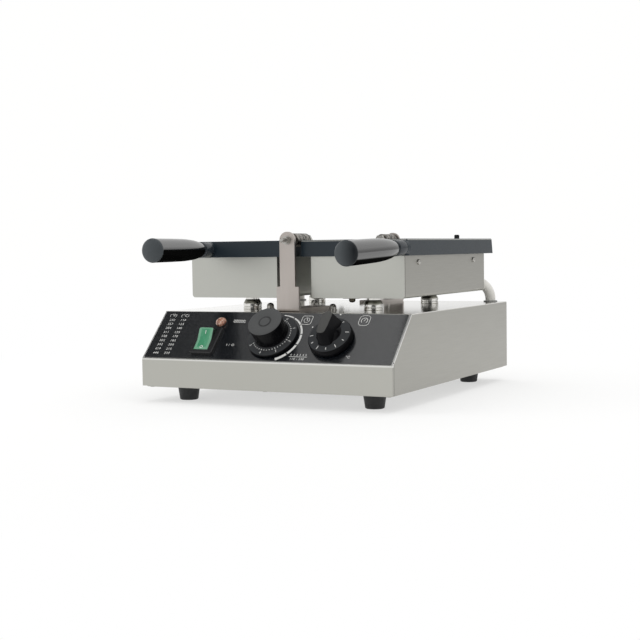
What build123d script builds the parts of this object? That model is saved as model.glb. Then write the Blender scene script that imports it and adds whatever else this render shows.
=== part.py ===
"""Book-fold mini cake maker: two hinged mould halves on a sloped-front base.

Millimetres, +X to the right, +Y to the rear (the controls face -Y), +Z up from
the plane the feet rest on. The pieces are drawn about the centre of the base box
and saved about the centre of the whole footprint, handles and cord gland included.
Both halves are drawn lying open, each resting on two turned posts.
"""
import os
from math import pi, radians, tan

from build123d import *

os.makedirs("parts", exist_ok=True)

# Base box
base_width = 340.0
base_depth = 397.0
base_bottom_z = 20.0
lip_height = 34.0
slope_rise = 56.0
sheet = 1.2
bend_radius = 2.5
floor_flange = 14.0
footprint_centre_y = -19.63

front_y = -base_depth / 2
rear_y = base_depth / 2
lip_z = base_bottom_z + lip_height
deck_z = lip_z + slope_rise
deck_front_y = front_y + slope_rise
slope_length = slope_rise * 2**0.5

# Feet
foot_height = base_bottom_z - sheet
foot_top_radius = 14.2
foot_bottom_radius = 10.7
foot_x = base_width / 2 - 41.5
foot_y = base_depth / 2 - 41.5

# Hinge line and mould halves
hinge_z = 198.0
face_gap = 0.2
mould_thickness = 20.2
mould_inner_x = 9.4
mould_outer_x = 155.0
mould_front_y = deck_front_y + 26.0
mould_length = rear_y - 11.0 - mould_front_y
mould_draft = 4.0
knuckle_radius = 8.5
bolt_radius = 4.0
pivot_clearance = 0.06

face_z = hinge_z - face_gap
mould_under_z = face_z - mould_thickness
mould_rear_y = mould_front_y + mould_length
mould_mid_x = (mould_inner_x + mould_outer_x) / 2
mould_mid_y = (mould_front_y + mould_rear_y) / 2
mould_width = mould_outer_x - mould_inner_x

# Knuckles along the hinge line, measured from each end of the moulds
outer_knuckle = 18.0
washer_thickness = 3.0
side_play = 0.3
inner_knuckle = 12.5
lug_gap = 0.02
lug_step = 3.0

# Cake cups
cup_radius = 26.5
cup_depth = 12.5
cup_wall_slope = 12.0
cup_pitch_x = (mould_width - 13.6) / 2
cup_pitch_y = (mould_length - 24.0) / 4

# Pans under the moulds
pan_inner_x = 24.0
pan_outer_x = 149.0
pan_front_y = mould_front_y + 4.0
pan_rear_y = mould_rear_y - 22.5
pan_bottom_z = 126.4
pan_sheet = 1.0
pan_bend = 4.0
pan_width = pan_outer_x - pan_inner_x
pan_mid_x = (pan_inner_x + pan_outer_x) / 2
pan_mid_y = (pan_front_y + pan_rear_y) / 2
pan_length = pan_rear_y - pan_front_y

# Rest posts
post_radius = 12.0
post_neck_radius = 8.8
post_spacing_y = pan_length * 2 / 3
rest_gap = 0.05

# Uprights that carry the pivots
upright_sheet = 4.0
upright_foot_width = 30.6
upright_foot_height = 31.0
upright_width = 20.8
upright_foot_length = 86.0
front_upright_y = mould_front_y - 13.5
rear_upright_y = mould_rear_y + 8.0

# Handles: root on the mould's front face, tip at the end cap
handle_tip_y = mould_front_y - 132.5
left_handle_root = (-120.0, mould_front_y, 187.6)
left_handle_tip = (-116.3, handle_tip_y, 187.6)
right_handle_root = (148.0, mould_front_y, 187.0)
right_handle_tip = (138.0, handle_tip_y, 181.8)
grip_tip_radius = 14.6
grip_root_radius = 8.9
cap_thickness = 1.4
cap_dome = 5.6
boss_radius = 9.4

# Heat-proof lead sleeves
sleeve_radius = 7.0
sleeve_bend = 24.0
sleeve_fit = 0.15
sleeve_foot = (150.5, 186.5)
sleeve_corner_z = 130.0
gland_x = 137.5
gland_z = 138.5
gland_face = 2.0
gland_neck_radius = 9.0
gland_flange_radius = 10.2
grommet_neck_radius = 8.6
grommet_lip = 1.0
grommet_gap = 0.45

# Controls on the slope: across the panel, then up the slope from its lower edge
rocker_at = (-86.5, 28.5)
lamp_at = (-78.8, 59.5)
timer_at = (3.0, 37.5)
thermostat_at = (82.0, 36.0)
shaft_radius = 3.0
lamp_radius = 6.9
panel_thickness = 1.0

slope = Plane(origin=(0, front_y, lip_z), x_dir=(1, 0, 0), z_dir=(0, -1, 1))

# Pan fixings, heater and guide pin
skirt_inset = 2.4
skirt_wall = 5.0
skirt_height = 14.0
pan_screw_y = (pan_front_y + 42.5, pan_rear_y - 43.0)
pan_screw_z = 169.4
pan_screw_radius = 2.0
pan_screw_reach = 5.5
heater_radius = 3.5
heater_pitch = 26.0
clamp_stud_radius = 3.0
clamp_stud_pitch = pan_length / 3 - 2.5
guide_pin_at = (132.0, mould_rear_y - 82.0)
guide_pin_radius = 3.4
guide_pin_height = 5.4
guide_hole_depth = 7.0
strap_at = (64.0, pan_front_y + 32.5)
strap_thickness = 1.6
insulation_thickness = 24.0

# Handle joint
boss_length = 3.0
collar_length = 23.0
stud_grip = 16.0

# Rocker and knobs
bezel_height = 4.6
rocker_shift = -1.5
rocker_width = 20.0
rocker_length = 30.0
rocker_gap = 0.4
rocker_end_gap = 1.7
rocker_pivot_height = 0.5
rocker_high = 8.6
rocker_valley = 6.0
rocker_rest_tilt = 13.0
switch_frame = (31.0, 41.5)
switch_case = (26.0, 36.0)
shaft_clearance = 0.06
timer_shaft_height = 20.0
thermostat_shaft_height = 16.0
timer_skirt_radius = 32.0
timer_drum_radius = 21.4
timer_height = 31.0
thermostat_skirt_radius = 27.5
thermostat_skirt_height = 11.0
thermostat_height = 31.5
pointer_taper = 13.0
pointer_outline = [(-9, -19), (9, -19), (11, -4), (11.5, 19), (0, 25), (-11.5, 19), (-11, -4)]

# Fasteners and inlets
thread_gap = 0.02
foot_screw_radius = 2.5
foot_recess_radius = 5.6
foot_recess_depth = 9.0
floor_screw_radius = 1.8
post_stud_radius = 3.0
upright_stud_radius = 2.5
upright_stud_reach = (26.0, 72.0)
deck_stud_points = [(-60.0, deck_front_y + 76.5), (36.0, deck_front_y + 64.5)]
bolt_overhang = 15.0
pivot_head = 7.5
pivot_thread_radius = 2.5
pivot_washer = 1.2
pivot_nut_height = 5.0
gland_at = (50.0 - base_width / 2, 52.0)
gland_thread_radius = 8.0

foot_points = [(x, y) for x in (-foot_x, foot_x) for y in (-foot_y, foot_y)]
floor_screw_points = [
    (x, y)
    for x in (-base_width / 2 + 9, 0, base_width / 2 - 9)
    for y in (-base_depth / 2 + 9, base_depth / 2 - 9)
]
post_points = [
    (side * pan_mid_x, pan_mid_y + end * post_spacing_y / 2) for side in (-1, 1) for end in (-1, 1)
]
upright_stud_y = [front_upright_y + reach for reach in upright_stud_reach]
upright_stud_y += [rear_upright_y - reach for reach in upright_stud_reach]

# Stations along the hinge line, from the front mould edge inwards
outer_knuckle_end = mould_front_y + outer_knuckle
front_washer_y = outer_knuckle_end + side_play
inner_knuckle_start = front_washer_y + washer_thickness + side_play
inner_knuckle_end = inner_knuckle_start + inner_knuckle
front_head_y = inner_knuckle_end + side_play


def mirrored_y(y):
    """The station as far from the mould's rear edge as y is from its front edge."""
    return mould_front_y + mould_rear_y - y


rear_head_y = mirrored_y(front_head_y)
rear_washer_y = mirrored_y(front_washer_y + washer_thickness)
front_spacer_y = front_upright_y + upright_sheet
rear_spacer_y = mould_rear_y + side_play
washer_spans = [
    (front_washer_y, washer_thickness, 8.0),
    (rear_washer_y, washer_thickness, 8.0),
    (front_spacer_y, mould_front_y - side_play - front_spacer_y, 6.6),
    (rear_spacer_y, rear_upright_y - upright_sheet - rear_spacer_y, 6.6),
]


def save(piece, name):
    """Set a finished piece about the footprint's centre, label it and write its file."""
    placed = piece.moved(Location((0, -footprint_centre_y, 0)))
    placed.label = name
    export_step(placed, f"parts/{name}.step")


def on_slope(spot, lift=0.0):
    """A plane parallel to the slope, centred on a control."""
    return Plane(
        origin=slope.from_local_coords((spot[0], spot[1], lift)),
        x_dir=slope.x_dir,
        z_dir=slope.z_dir,
    )


def turned(plane, outline, turn_axis):
    """A closed outline turned about an axis that lies in its plane."""
    with BuildPart() as piece:
        with BuildSketch(plane):
            with BuildLine():
                Polyline(*outline, close=True)
            make_face()
        revolve(axis=turn_axis)
    return piece.part


def turned_on(base_plane, outline):
    """A piece turned about the normal of a plane; outline is (radius, height)."""
    section = Plane(
        origin=base_plane.origin, x_dir=base_plane.x_dir, z_dir=-base_plane.y_dir
    )
    return turned(section, outline, Axis(base_plane.origin, base_plane.z_dir))


# Base housing: one folded sheet with a sloped front and an in-turned floor flange
with BuildPart() as base_housing:
    with BuildSketch(Plane.YZ):
        with BuildLine():
            Polyline(
                (front_y, base_bottom_z),
                (front_y, lip_z),
                (deck_front_y, deck_z),
                (rear_y, deck_z),
                (rear_y, base_bottom_z),
                close=True,
            )
        make_face()
    extrude(amount=base_width / 2, both=True)
    cross_edges = base_housing.edges().filter_by(Axis.X)
    fillet([e for e in cross_edges if e.center().Z > base_bottom_z + 1], radius=bend_radius)
    offset(amount=-sheet, openings=base_housing.faces().sort_by(Axis.Z)[0])
    with BuildSketch(Plane.XY.offset(base_bottom_z)):
        Rectangle(base_width - sheet, base_depth - sheet)
        Rectangle(
            base_width - 2 * floor_flange, base_depth - 2 * floor_flange, mode=Mode.SUBTRACT
        )
    extrude(amount=sheet)
    with BuildSketch(slope):
        with Locations(rocker_at):
            Rectangle(switch_case[0] + 0.4, switch_case[1] + 0.4)
        with Locations(lamp_at):
            Circle(5.2)
        with Locations(timer_at, thermostat_at):
            Circle(5.2)
    extrude(amount=-4, both=True, mode=Mode.SUBTRACT)
    with BuildSketch(Plane.XY.offset(deck_z)):
        with Locations(*post_points):
            Circle(post_stud_radius + 0.2)
        with Locations(*[(0, y) for y in upright_stud_y]):
            Circle(upright_stud_radius + 0.2)
        with Locations(*deck_stud_points):
            Circle(upright_stud_radius + 0.2)
        with Locations(*[(side * sleeve_foot[0], sleeve_foot[1]) for side in (-1, 1)]):
            Circle(grommet_neck_radius)
    extrude(amount=-4, both=True, mode=Mode.SUBTRACT)
    with BuildSketch(Plane.XZ.offset(-rear_y)):
        with Locations(gland_at):
            Circle(gland_thread_radius)
    extrude(amount=4, both=True, mode=Mode.SUBTRACT)
    with BuildSketch(Plane.XY.offset(base_bottom_z)):
        with Locations(*floor_screw_points):
            Circle(floor_screw_radius + 0.2)
    extrude(amount=4, both=True, mode=Mode.SUBTRACT)
save(base_housing.part, "base_housing")

# Floor plate with louvre slots, screwed up into the housing's flange
with BuildPart() as bottom_plate:
    with BuildSketch(Plane.XY.offset(base_bottom_z - sheet)):
        RectangleRounded(base_width - 6, base_depth - 6, 4)
        with GridLocations(16, 110, 11, 2):
            SlotOverall(46, 4, rotation=90, mode=Mode.SUBTRACT)
        with Locations(*floor_screw_points):
            Circle(floor_screw_radius + 0.2, mode=Mode.SUBTRACT)
        with Locations(*foot_points):
            Circle(foot_screw_radius + 0.2, mode=Mode.SUBTRACT)
    extrude(amount=sheet)
save(bottom_plate.part, "bottom_plate")

# Tapered rubber feet with a recess for the screw head
foot_outline = [
    (foot_screw_radius + 0.2, foot_height),
    (foot_top_radius, foot_height),
    (foot_bottom_radius + 0.8, 0.9),
    (foot_bottom_radius - 0.4, 0),
    (foot_recess_radius, 0),
    (foot_recess_radius, foot_recess_depth),
    (foot_screw_radius + 0.2, foot_recess_depth),
]
foot = turned_on(Plane.XY, foot_outline)
with BuildPart() as feet:
    with Locations(*foot_points):
        add(foot)
save(feet.part, "feet")

# Foot screws and their nuts: pan head in the recess, shank up through the floor plate
foot_screw_outline = [
    (0, foot_recess_depth - 3.2),
    (4.2, foot_recess_depth - 3.2),
    (4.8, foot_recess_depth - 2.2),
    (4.8, foot_recess_depth),
    (foot_screw_radius, foot_recess_depth),
    (foot_screw_radius, base_bottom_z + 7),
    (0, base_bottom_z + 7),
]
foot_screw = turned_on(Plane.XY, foot_screw_outline)
with BuildPart() as foot_screws:
    with Locations(*foot_points):
        add(foot_screw)
    with BuildSketch(Plane.XY.offset(base_bottom_z)):
        with Locations(*foot_points):
            RegularPolygon(4.0, 6, major_radius=False)
            Circle(foot_screw_radius + thread_gap, mode=Mode.SUBTRACT)
    extrude(amount=4)
save(foot_screws.part, "foot_screws")

# Floor screws: low heads under the plate, shanks through plate and flange
floor_screw_outline = [
    (0, base_bottom_z - sheet - 0.9),
    (2.8, base_bottom_z - sheet - 0.9),
    (3.4, base_bottom_z - sheet - 0.5),
    (3.4, base_bottom_z - sheet),
    (floor_screw_radius, base_bottom_z - sheet),
    (floor_screw_radius, base_bottom_z + 6),
    (0, base_bottom_z + 6),
]
floor_screw = turned_on(Plane.XY, floor_screw_outline)
with BuildPart() as floor_screws:
    with Locations(*floor_screw_points):
        add(floor_screw)
save(floor_screws.part, "floor_screws")

# Control panel: black fascia over the whole slope
with BuildPart() as control_panel:
    with BuildSketch(slope):
        with Locations((0, slope_length / 2)):
            RectangleRounded(base_width - 5, slope_length - 3.4, 1.5)
        with Locations(rocker_at):
            Rectangle(switch_case[0] + 0.4, switch_case[1] + 0.4, mode=Mode.SUBTRACT)
        with Locations(lamp_at, timer_at, thermostat_at):
            Circle(5.2, mode=Mode.SUBTRACT)
    extrude(amount=panel_thickness)
save(control_panel.part, "control_panel")


# Uprights: flat bars with a round top and an L foot bolted to the deck
def upright(outer_y, inward):
    """A pivot upright whose outer face is at outer_y; its foot points inward."""
    with BuildPart() as bar:
        with BuildSketch(Plane.XZ.offset(-outer_y)):
            with Locations((0, deck_z + upright_foot_height / 2)):
                Rectangle(upright_foot_width, upright_foot_height)
            with Locations((0, (deck_z + hinge_z) / 2)):
                Rectangle(upright_width, hinge_z - deck_z)
            with Locations((0, hinge_z)):
                Circle(upright_width / 2)
                Circle(bolt_radius + pivot_clearance, mode=Mode.SUBTRACT)
        extrude(amount=-inward * upright_sheet)
        with BuildSketch(Plane.XY.offset(deck_z)):
            with Locations((0, outer_y + inward * upright_foot_length / 2)):
                Rectangle(upright_foot_width, upright_foot_length)
        extrude(amount=upright_sheet)
        corner = bar.edges().filter_by(Axis.X).sort_by_distance((0, outer_y, deck_z))[0]
        fillet(corner, radius=upright_sheet)
        with BuildSketch(Plane.XY.offset(deck_z)):
            with Locations(*[(0, outer_y + inward * reach) for reach in upright_stud_reach]):
                Circle(upright_stud_radius + 0.2)
        extrude(amount=upright_sheet, mode=Mode.SUBTRACT)
    return bar.part


save(upright(front_upright_y, 1), "front_upright")
save(upright(rear_upright_y, -1), "rear_upright")

# Dome nuts with their studs, holding the upright feet and the earth lead
nut_base_z = deck_z + upright_sheet
dome_nut_outline = [
    (0, deck_z - 9),
    (upright_stud_radius, deck_z - 9),
    (upright_stud_radius, nut_base_z),
    (5.6, nut_base_z),
    (5.6, nut_base_z + 1),
    (4.6, nut_base_z + 1),
    (4.6, nut_base_z + 4),
    (4.1, nut_base_z + 6),
    (2.6, nut_base_z + 7.6),
    (0, nut_base_z + 8.2),
]
dome_nut = turned_on(Plane.XY, dome_nut_outline)
with BuildPart() as deck_dome_nuts:
    with Locations(*[(0, y) for y in upright_stud_y]):
        add(dome_nut)
    with Locations(*[(x, y, -upright_sheet) for x, y in deck_stud_points]):
        add(dome_nut)
save(deck_dome_nuts.part, "deck_dome_nuts")


# Pivot bolts: hex head inside the inner knuckle, thread and nut outside the upright
def pivot_bolt(upright_outer_y, head_y, outward):
    """A shoulder bolt along the hinge line, with a thinner thread outside the upright."""
    shoulder_end = upright_outer_y - outward * 0.5
    bolt_end = upright_outer_y + outward * bolt_overhang
    with BuildPart() as bolt:
        with BuildSketch(Plane.XZ.offset(-head_y)):
            with Locations((0, hinge_z)):
                RegularPolygon(6.5, 6, major_radius=False)
        extrude(amount=outward * pivot_head)
        for end, radius in ((shoulder_end, bolt_radius), (bolt_end, pivot_thread_radius)):
            with BuildSketch(Plane.XZ.offset(-head_y)):
                with Locations((0, hinge_z)):
                    Circle(radius)
            extrude(amount=-(end - head_y))
        tip = bolt.edges().filter_by(GeomType.CIRCLE).sort_by_distance((0, bolt_end, hinge_z))[0]
        chamfer(tip, length=0.7)
    return bolt.part


save(pivot_bolt(front_upright_y, front_head_y, -1), "front_pivot_bolt")
save(pivot_bolt(rear_upright_y, rear_head_y, 1), "rear_pivot_bolt")


def pivot_nut(upright_outer_y, outward):
    """Washer and hex nut against the outer face of an upright."""
    bore = pivot_thread_radius + thread_gap
    with BuildPart() as nut:
        with BuildSketch(Plane.XZ.offset(-upright_outer_y)):
            with Locations((0, hinge_z)):
                Circle(5.6)
                Circle(bore, mode=Mode.SUBTRACT)
        extrude(amount=-outward * pivot_washer)
        nut_y = upright_outer_y + outward * pivot_washer
        with BuildSketch(Plane.XZ.offset(-nut_y)):
            with Locations((0, hinge_z)):
                RegularPolygon(4.2, 6, major_radius=False)
                Circle(bore, mode=Mode.SUBTRACT)
        extrude(amount=-outward * pivot_nut_height)
    return nut.part


save(pivot_nut(front_upright_y, -1), "front_pivot_nut")
save(pivot_nut(rear_upright_y, 1), "rear_pivot_nut")

# Thrust washers between the knuckles and spacers against the uprights
ring_bore = bolt_radius + thread_gap
with BuildPart() as pivot_washers:
    for start, length, radius in washer_spans:
        with BuildSketch(Plane.XZ.offset(-start)):
            with Locations((0, hinge_z)):
                Circle(radius)
                Circle(ring_bore, mode=Mode.SUBTRACT)
        extrude(amount=-length)
save(pivot_washers.part, "pivot_washers")

# Turned rest posts with a narrow neck under the pan, a stud through the deck and a nut
post_top = pan_bottom_z - rest_gap
post_outline = [
    (0, deck_z - 12),
    (post_stud_radius, deck_z - 12),
    (post_stud_radius, deck_z),
    (post_radius, deck_z),
    (post_radius, deck_z + 7.4),
    (post_radius - 0.8, deck_z + 8.6),
    (post_neck_radius + 0.9, post_top - 4.4),
    (post_neck_radius, post_top - 3.6),
    (post_neck_radius, post_top),
    (0, post_top),
]
post = turned_on(Plane.XY, post_outline)
with BuildPart() as rest_posts:
    with Locations(*post_points):
        add(post)
    with BuildSketch(Plane.XY.offset(deck_z - sheet)):
        with Locations(*post_points):
            RegularPolygon(5.0, 6, major_radius=False)
            Circle(post_stud_radius + thread_gap, mode=Mode.SUBTRACT)
    extrude(amount=-5)
save(rest_posts.part, "rest_posts")


# Moulds: castings with a drafted edge, cups, a skirt and a handle boss, and their hinge lugs
def handle_frame(root, tip):
    """Section plane along a handle: first axis radial, second axis towards the tip."""
    along = (Vector(*tip) - Vector(*root)).normalized()
    radial = along.cross(Vector(0, 0, 1)).normalized()
    return Plane(origin=root, x_dir=radial, z_dir=radial.cross(along)), along


def turned_on_handle(root, tip, outline):
    """A piece turned about a handle; outline is (radius, distance from the root)."""
    section, along = handle_frame(root, tip)
    return turned(section, outline, Axis(root, tuple(along)))


def knuckle_spans(side):
    """Start and length of this half's two knuckles: the halves are the same casting turned."""
    outer = (mould_front_y, outer_knuckle)
    inner = (inner_knuckle_start, inner_knuckle)
    if side < 0:
        return [outer, (mirrored_y(inner[0] + inner[1]), inner[1])]
    return [inner, (mirrored_y(outer[0] + outer[1]), outer[1])]


def hinge_lugs(side):
    """The two cast lugs of one half, each butted on the mould's drafted inner edge."""
    lug_low_x = mould_inner_x - lug_gap
    lug_high_x = lug_low_x + (face_z - mould_under_z) * tan(radians(mould_draft))
    lean_x = lug_low_x + lug_step * tan(radians(mould_draft))
    with BuildPart() as lugs:
        for start, length in knuckle_spans(side):
            with BuildSketch(Plane.XZ.offset(-start)):
                with BuildLine():
                    Polyline(
                        (0, face_z),
                        (side * lug_high_x, face_z),
                        (side * lean_x, mould_under_z + lug_step),
                        (side * lug_low_x / 3, hinge_z - knuckle_radius + 0.6),
                        (0, hinge_z - knuckle_radius + 0.6),
                        close=True,
                    )
                make_face()
                with Locations((0, hinge_z)):
                    Circle(knuckle_radius)
                    Circle(bolt_radius + pivot_clearance, mode=Mode.SUBTRACT)
            extrude(amount=-length)
    return lugs.part


def mould(side, handle_root, handle_tip, pin_hole_radius):
    """One mould half; side is -1 for the left half and +1 for the right."""
    mid_x = side * mould_mid_x
    with BuildPart() as casting:
        with BuildSketch(Plane.XY.offset(mould_under_z)):
            with Locations((mid_x, mould_mid_y)):
                RectangleRounded(mould_width, mould_length, 4)
        extrude(amount=mould_thickness, taper=mould_draft)
        chamfer(casting.faces().sort_by(Axis.Z)[-1].outer_wire().edges(), length=1.0)
        with BuildSketch(Plane.XY.offset(mould_under_z)):
            with Locations((side * pan_mid_x, pan_mid_y)):
                Rectangle(pan_width - skirt_inset, pan_length - skirt_inset)
                Rectangle(
                    pan_width - skirt_inset - 2 * skirt_wall,
                    pan_length - skirt_inset - 2 * skirt_wall,
                    mode=Mode.SUBTRACT,
                )
        extrude(amount=-skirt_height)
        boss = [(0, -3), (boss_radius + 0.4, -3), (boss_radius, boss_length), (0, boss_length)]
        add(turned_on_handle(handle_root, handle_tip, boss))
        with BuildSketch(Plane.XY.offset(face_z)):
            with Locations((mid_x, mould_mid_y)):
                with GridLocations(cup_pitch_x, cup_pitch_y, 2, 4):
                    Circle(cup_radius)
        extrude(amount=-cup_depth, taper=cup_wall_slope, mode=Mode.SUBTRACT)
        with BuildSketch(Plane.XY.offset(face_z)):
            with Locations((side * guide_pin_at[0], guide_pin_at[1])):
                Circle(pin_hole_radius)
        extrude(amount=-guide_hole_depth, mode=Mode.SUBTRACT)
        for screw_y in pan_screw_y:
            with BuildSketch(Plane.YZ.offset(side * (pan_outer_x - pan_sheet))):
                with Locations((screw_y, pan_screw_z)):
                    Circle(pan_screw_radius + 0.02)
            extrude(amount=-side * pan_screw_reach, mode=Mode.SUBTRACT)
            with BuildSketch(Plane.YZ.offset(side * (pan_inner_x + pan_sheet))):
                with Locations((screw_y, pan_screw_z)):
                    Circle(pan_screw_radius + 0.02)
            extrude(amount=side * pan_screw_reach, mode=Mode.SUBTRACT)
        stud_bore = [(0, -stud_grip), (4.02, -stud_grip), (4.02, boss_length + 1), (0, boss_length + 1)]
        add(turned_on_handle(handle_root, handle_tip, stud_bore), mode=Mode.SUBTRACT)
    return casting.part


save(mould(-1, left_handle_root, left_handle_tip, guide_pin_radius + 0.6), "left_mould")
save(mould(1, right_handle_root, right_handle_tip, guide_pin_radius + 0.02), "right_mould")

save(hinge_lugs(-1), "left_hinge_lugs")
save(hinge_lugs(1), "right_hinge_lugs")

# Guide pin on the right half; it enters the matching hole of the left half
pin_outline = [
    (0, face_z - guide_hole_depth + 0.2),
    (guide_pin_radius, face_z - guide_hole_depth + 0.2),
    (guide_pin_radius, face_z + guide_pin_height - 1),
    (guide_pin_radius - 0.9, face_z + guide_pin_height),
    (0, face_z + guide_pin_height),
]
with BuildPart() as guide_pin:
    with Locations(guide_pin_at):
        add(turned_on(Plane.XY, pin_outline))
save(guide_pin.part, "guide_pin")


def strap_spot(side):
    """Where a half's earth strap sits: the left half is the right one turned end for end."""
    return (side * strap_at[0], strap_at[1] if side > 0 else mirrored_y(strap_at[1]))


# Pans: folded sheet trays under the moulds
def pan(side):
    """Open-topped tray with rounded lower bends along its length."""
    with BuildPart() as tray:
        with BuildSketch(Plane.XZ.offset(-pan_front_y)):
            with Locations((side * pan_mid_x, (pan_bottom_z + mould_under_z) / 2)):
                Rectangle(pan_width, mould_under_z - pan_bottom_z)
        extrude(amount=-pan_length)
        floor_edges = tray.faces().sort_by(Axis.Z)[0].edges().filter_by(Axis.Y)
        fillet(floor_edges, radius=pan_bend)
        offset(amount=-pan_sheet, openings=tray.faces().sort_by(Axis.Z)[-1])
        for wall_x in (pan_outer_x, pan_inner_x):
            with BuildSketch(Plane.YZ.offset(side * wall_x)):
                with Locations(*[(y, pan_screw_z) for y in pan_screw_y]):
                    Circle(pan_screw_radius + 0.2)
            extrude(amount=3, both=True, mode=Mode.SUBTRACT)
        with BuildSketch(Plane.XZ.offset(-pan_rear_y)):
            with Locations((side * gland_x, gland_z)):
                Circle(gland_neck_radius)
        extrude(amount=3, both=True, mode=Mode.SUBTRACT)
        with BuildSketch(Plane.XY.offset(pan_bottom_z)):
            with Locations(strap_spot(side)):
                Circle(upright_stud_radius + 0.2)
        extrude(amount=3, both=True, mode=Mode.SUBTRACT)
    return tray.part


def pan_screws(side):
    """Dome-head screws through both long walls of a pan into the mould's skirt."""
    outline = [
        (0, -pan_screw_reach + 0.3),
        (pan_screw_radius, -pan_screw_reach + 0.3),
        (pan_screw_radius, 0),
        (3.6, 0),
        (3.3, 1.3),
        (2.2, 2.2),
        (0, 2.6),
    ]
    with BuildPart() as screws:
        for screw_y in pan_screw_y:
            for wall_x, facing in ((pan_outer_x, side), (pan_inner_x, -side)):
                at = Plane(
                    origin=(side * wall_x, screw_y, pan_screw_z), x_dir=(0, 1, 0), z_dir=(facing, 0, 0)
                )
                add(turned_on(at, outline))
    return screws.part


# Tubular heating elements bent to and fro under each mould
def heater(side):
    """An M-shaped round element lying against the mould's underside."""
    front = pan_front_y + 26
    back = pan_rear_y - 40
    runs = [side * (pan_mid_x + step * heater_pitch) for step in (-1.5, -0.5, 0.5, 1.5)]
    corners = [(runs[0], back + 14), (runs[0], front), (runs[1], front), (runs[1], back)]
    corners += [(runs[2], back), (runs[2], front), (runs[3], front), (runs[3], back + 14)]
    heater_z = mould_under_z - heater_radius - 0.05
    with BuildPart() as element:
        with BuildLine() as path:
            FilletPolyline(*[(x, y, heater_z) for x, y in corners], radius=heater_pitch / 2 - 0.5)
        with BuildSketch(Plane(origin=path.line @ 0, z_dir=path.line % 0)):
            Circle(heater_radius)
        sweep()
    return element.part


def heater_clamp(side):
    """Pressed plate that holds the element up against the casting."""
    top = mould_under_z - 2 * heater_radius - 0.1
    with BuildPart() as plate:
        with BuildSketch(Plane.XY.offset(top - 1.5)):
            with Locations((side * pan_mid_x, pan_mid_y)):
                RectangleRounded(pan_width - 24, pan_length - 60, 6)
                with GridLocations(2 * heater_pitch, clamp_stud_pitch, 2, 3):
                    Circle(clamp_stud_radius + 0.2, mode=Mode.SUBTRACT)
        extrude(amount=1.5)
    return plate.part


def clamp_studs(side):
    """Studs with nuts that pull the clamp plate up to the casting."""
    top = mould_under_z - 2 * heater_radius - 0.1 - 1.5
    shank = clamp_stud_radius
    outline = [(0, top - 7), (shank, top - 7), (shank, top - 5), (shank + 2.4, top - 5)]
    outline += [(shank + 2.4, top), (shank, top), (shank, mould_under_z), (0, mould_under_z)]
    with BuildPart() as studs:
        with Locations((side * pan_mid_x, pan_mid_y)):
            with GridLocations(2 * heater_pitch, clamp_stud_pitch, 2, 3):
                add(turned_on(Plane.XY, outline))
    return studs.part


def insulation(side):
    """Fibre blanket lying on the pan's floor, with a hole over the earth stud."""
    with BuildPart() as blanket:
        with BuildSketch(Plane.XY.offset(pan_bottom_z + pan_sheet)):
            with Locations((side * pan_mid_x, pan_mid_y - 10)):
                Rectangle(pan_width - 14, pan_length - 40)
            with Locations(strap_spot(side)):
                Circle(upright_stud_radius + 1.5, mode=Mode.SUBTRACT)
        extrude(amount=insulation_thickness)
    return blanket.part


def lead_sleeve(side):
    """Heat-proof sleeve from the pan's rear bush down through the deck."""
    leave = Vector(side * gland_x, pan_rear_y + gland_face + sleeve_fit, gland_z)
    corner = Vector(side * sleeve_foot[0], sleeve_foot[1], sleeve_corner_z)
    start = leave + (leave - corner) * 0.5
    end = Vector(side * sleeve_foot[0], sleeve_foot[1], deck_z - 10)
    with BuildPart() as sleeve:
        with BuildLine() as path:
            FilletPolyline(start, corner, end, radius=sleeve_bend)
        with BuildSketch(Plane(origin=path.line @ 0, z_dir=path.line % 0)):
            Circle(sleeve_radius)
        sweep()
        ideal = pi * sleeve_radius**2 * sum(edge.length for edge in path.edges())
        print("sleeve bend radius", sleeve_bend, "volume ratio", round(sleeve.part.volume / ideal, 4))
        split(bisect_by=Plane.XZ.offset(-leave.Y), keep=Keep.BOTTOM)
    return sleeve.part


def pan_gland(side):
    """Flanged bush in the pan's rear wall; the sleeve meets its flat outer face."""
    wall = Plane(origin=(side * gland_x, pan_rear_y, gland_z), x_dir=(1, 0, 0), z_dir=(0, 1, 0))
    bore = sleeve_radius + sleeve_fit
    neck = gland_neck_radius - 0.05
    inside = -pan_sheet - 0.02
    outline = [(bore, inside - 2.4), (gland_flange_radius, inside - 2.4)]
    outline += [(gland_flange_radius, inside), (neck, inside), (neck, 0.02)]
    outline += [(gland_flange_radius, 0.02), (gland_flange_radius - 0.5, gland_face), (bore, gland_face)]
    return turned_on(wall, outline)


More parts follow.
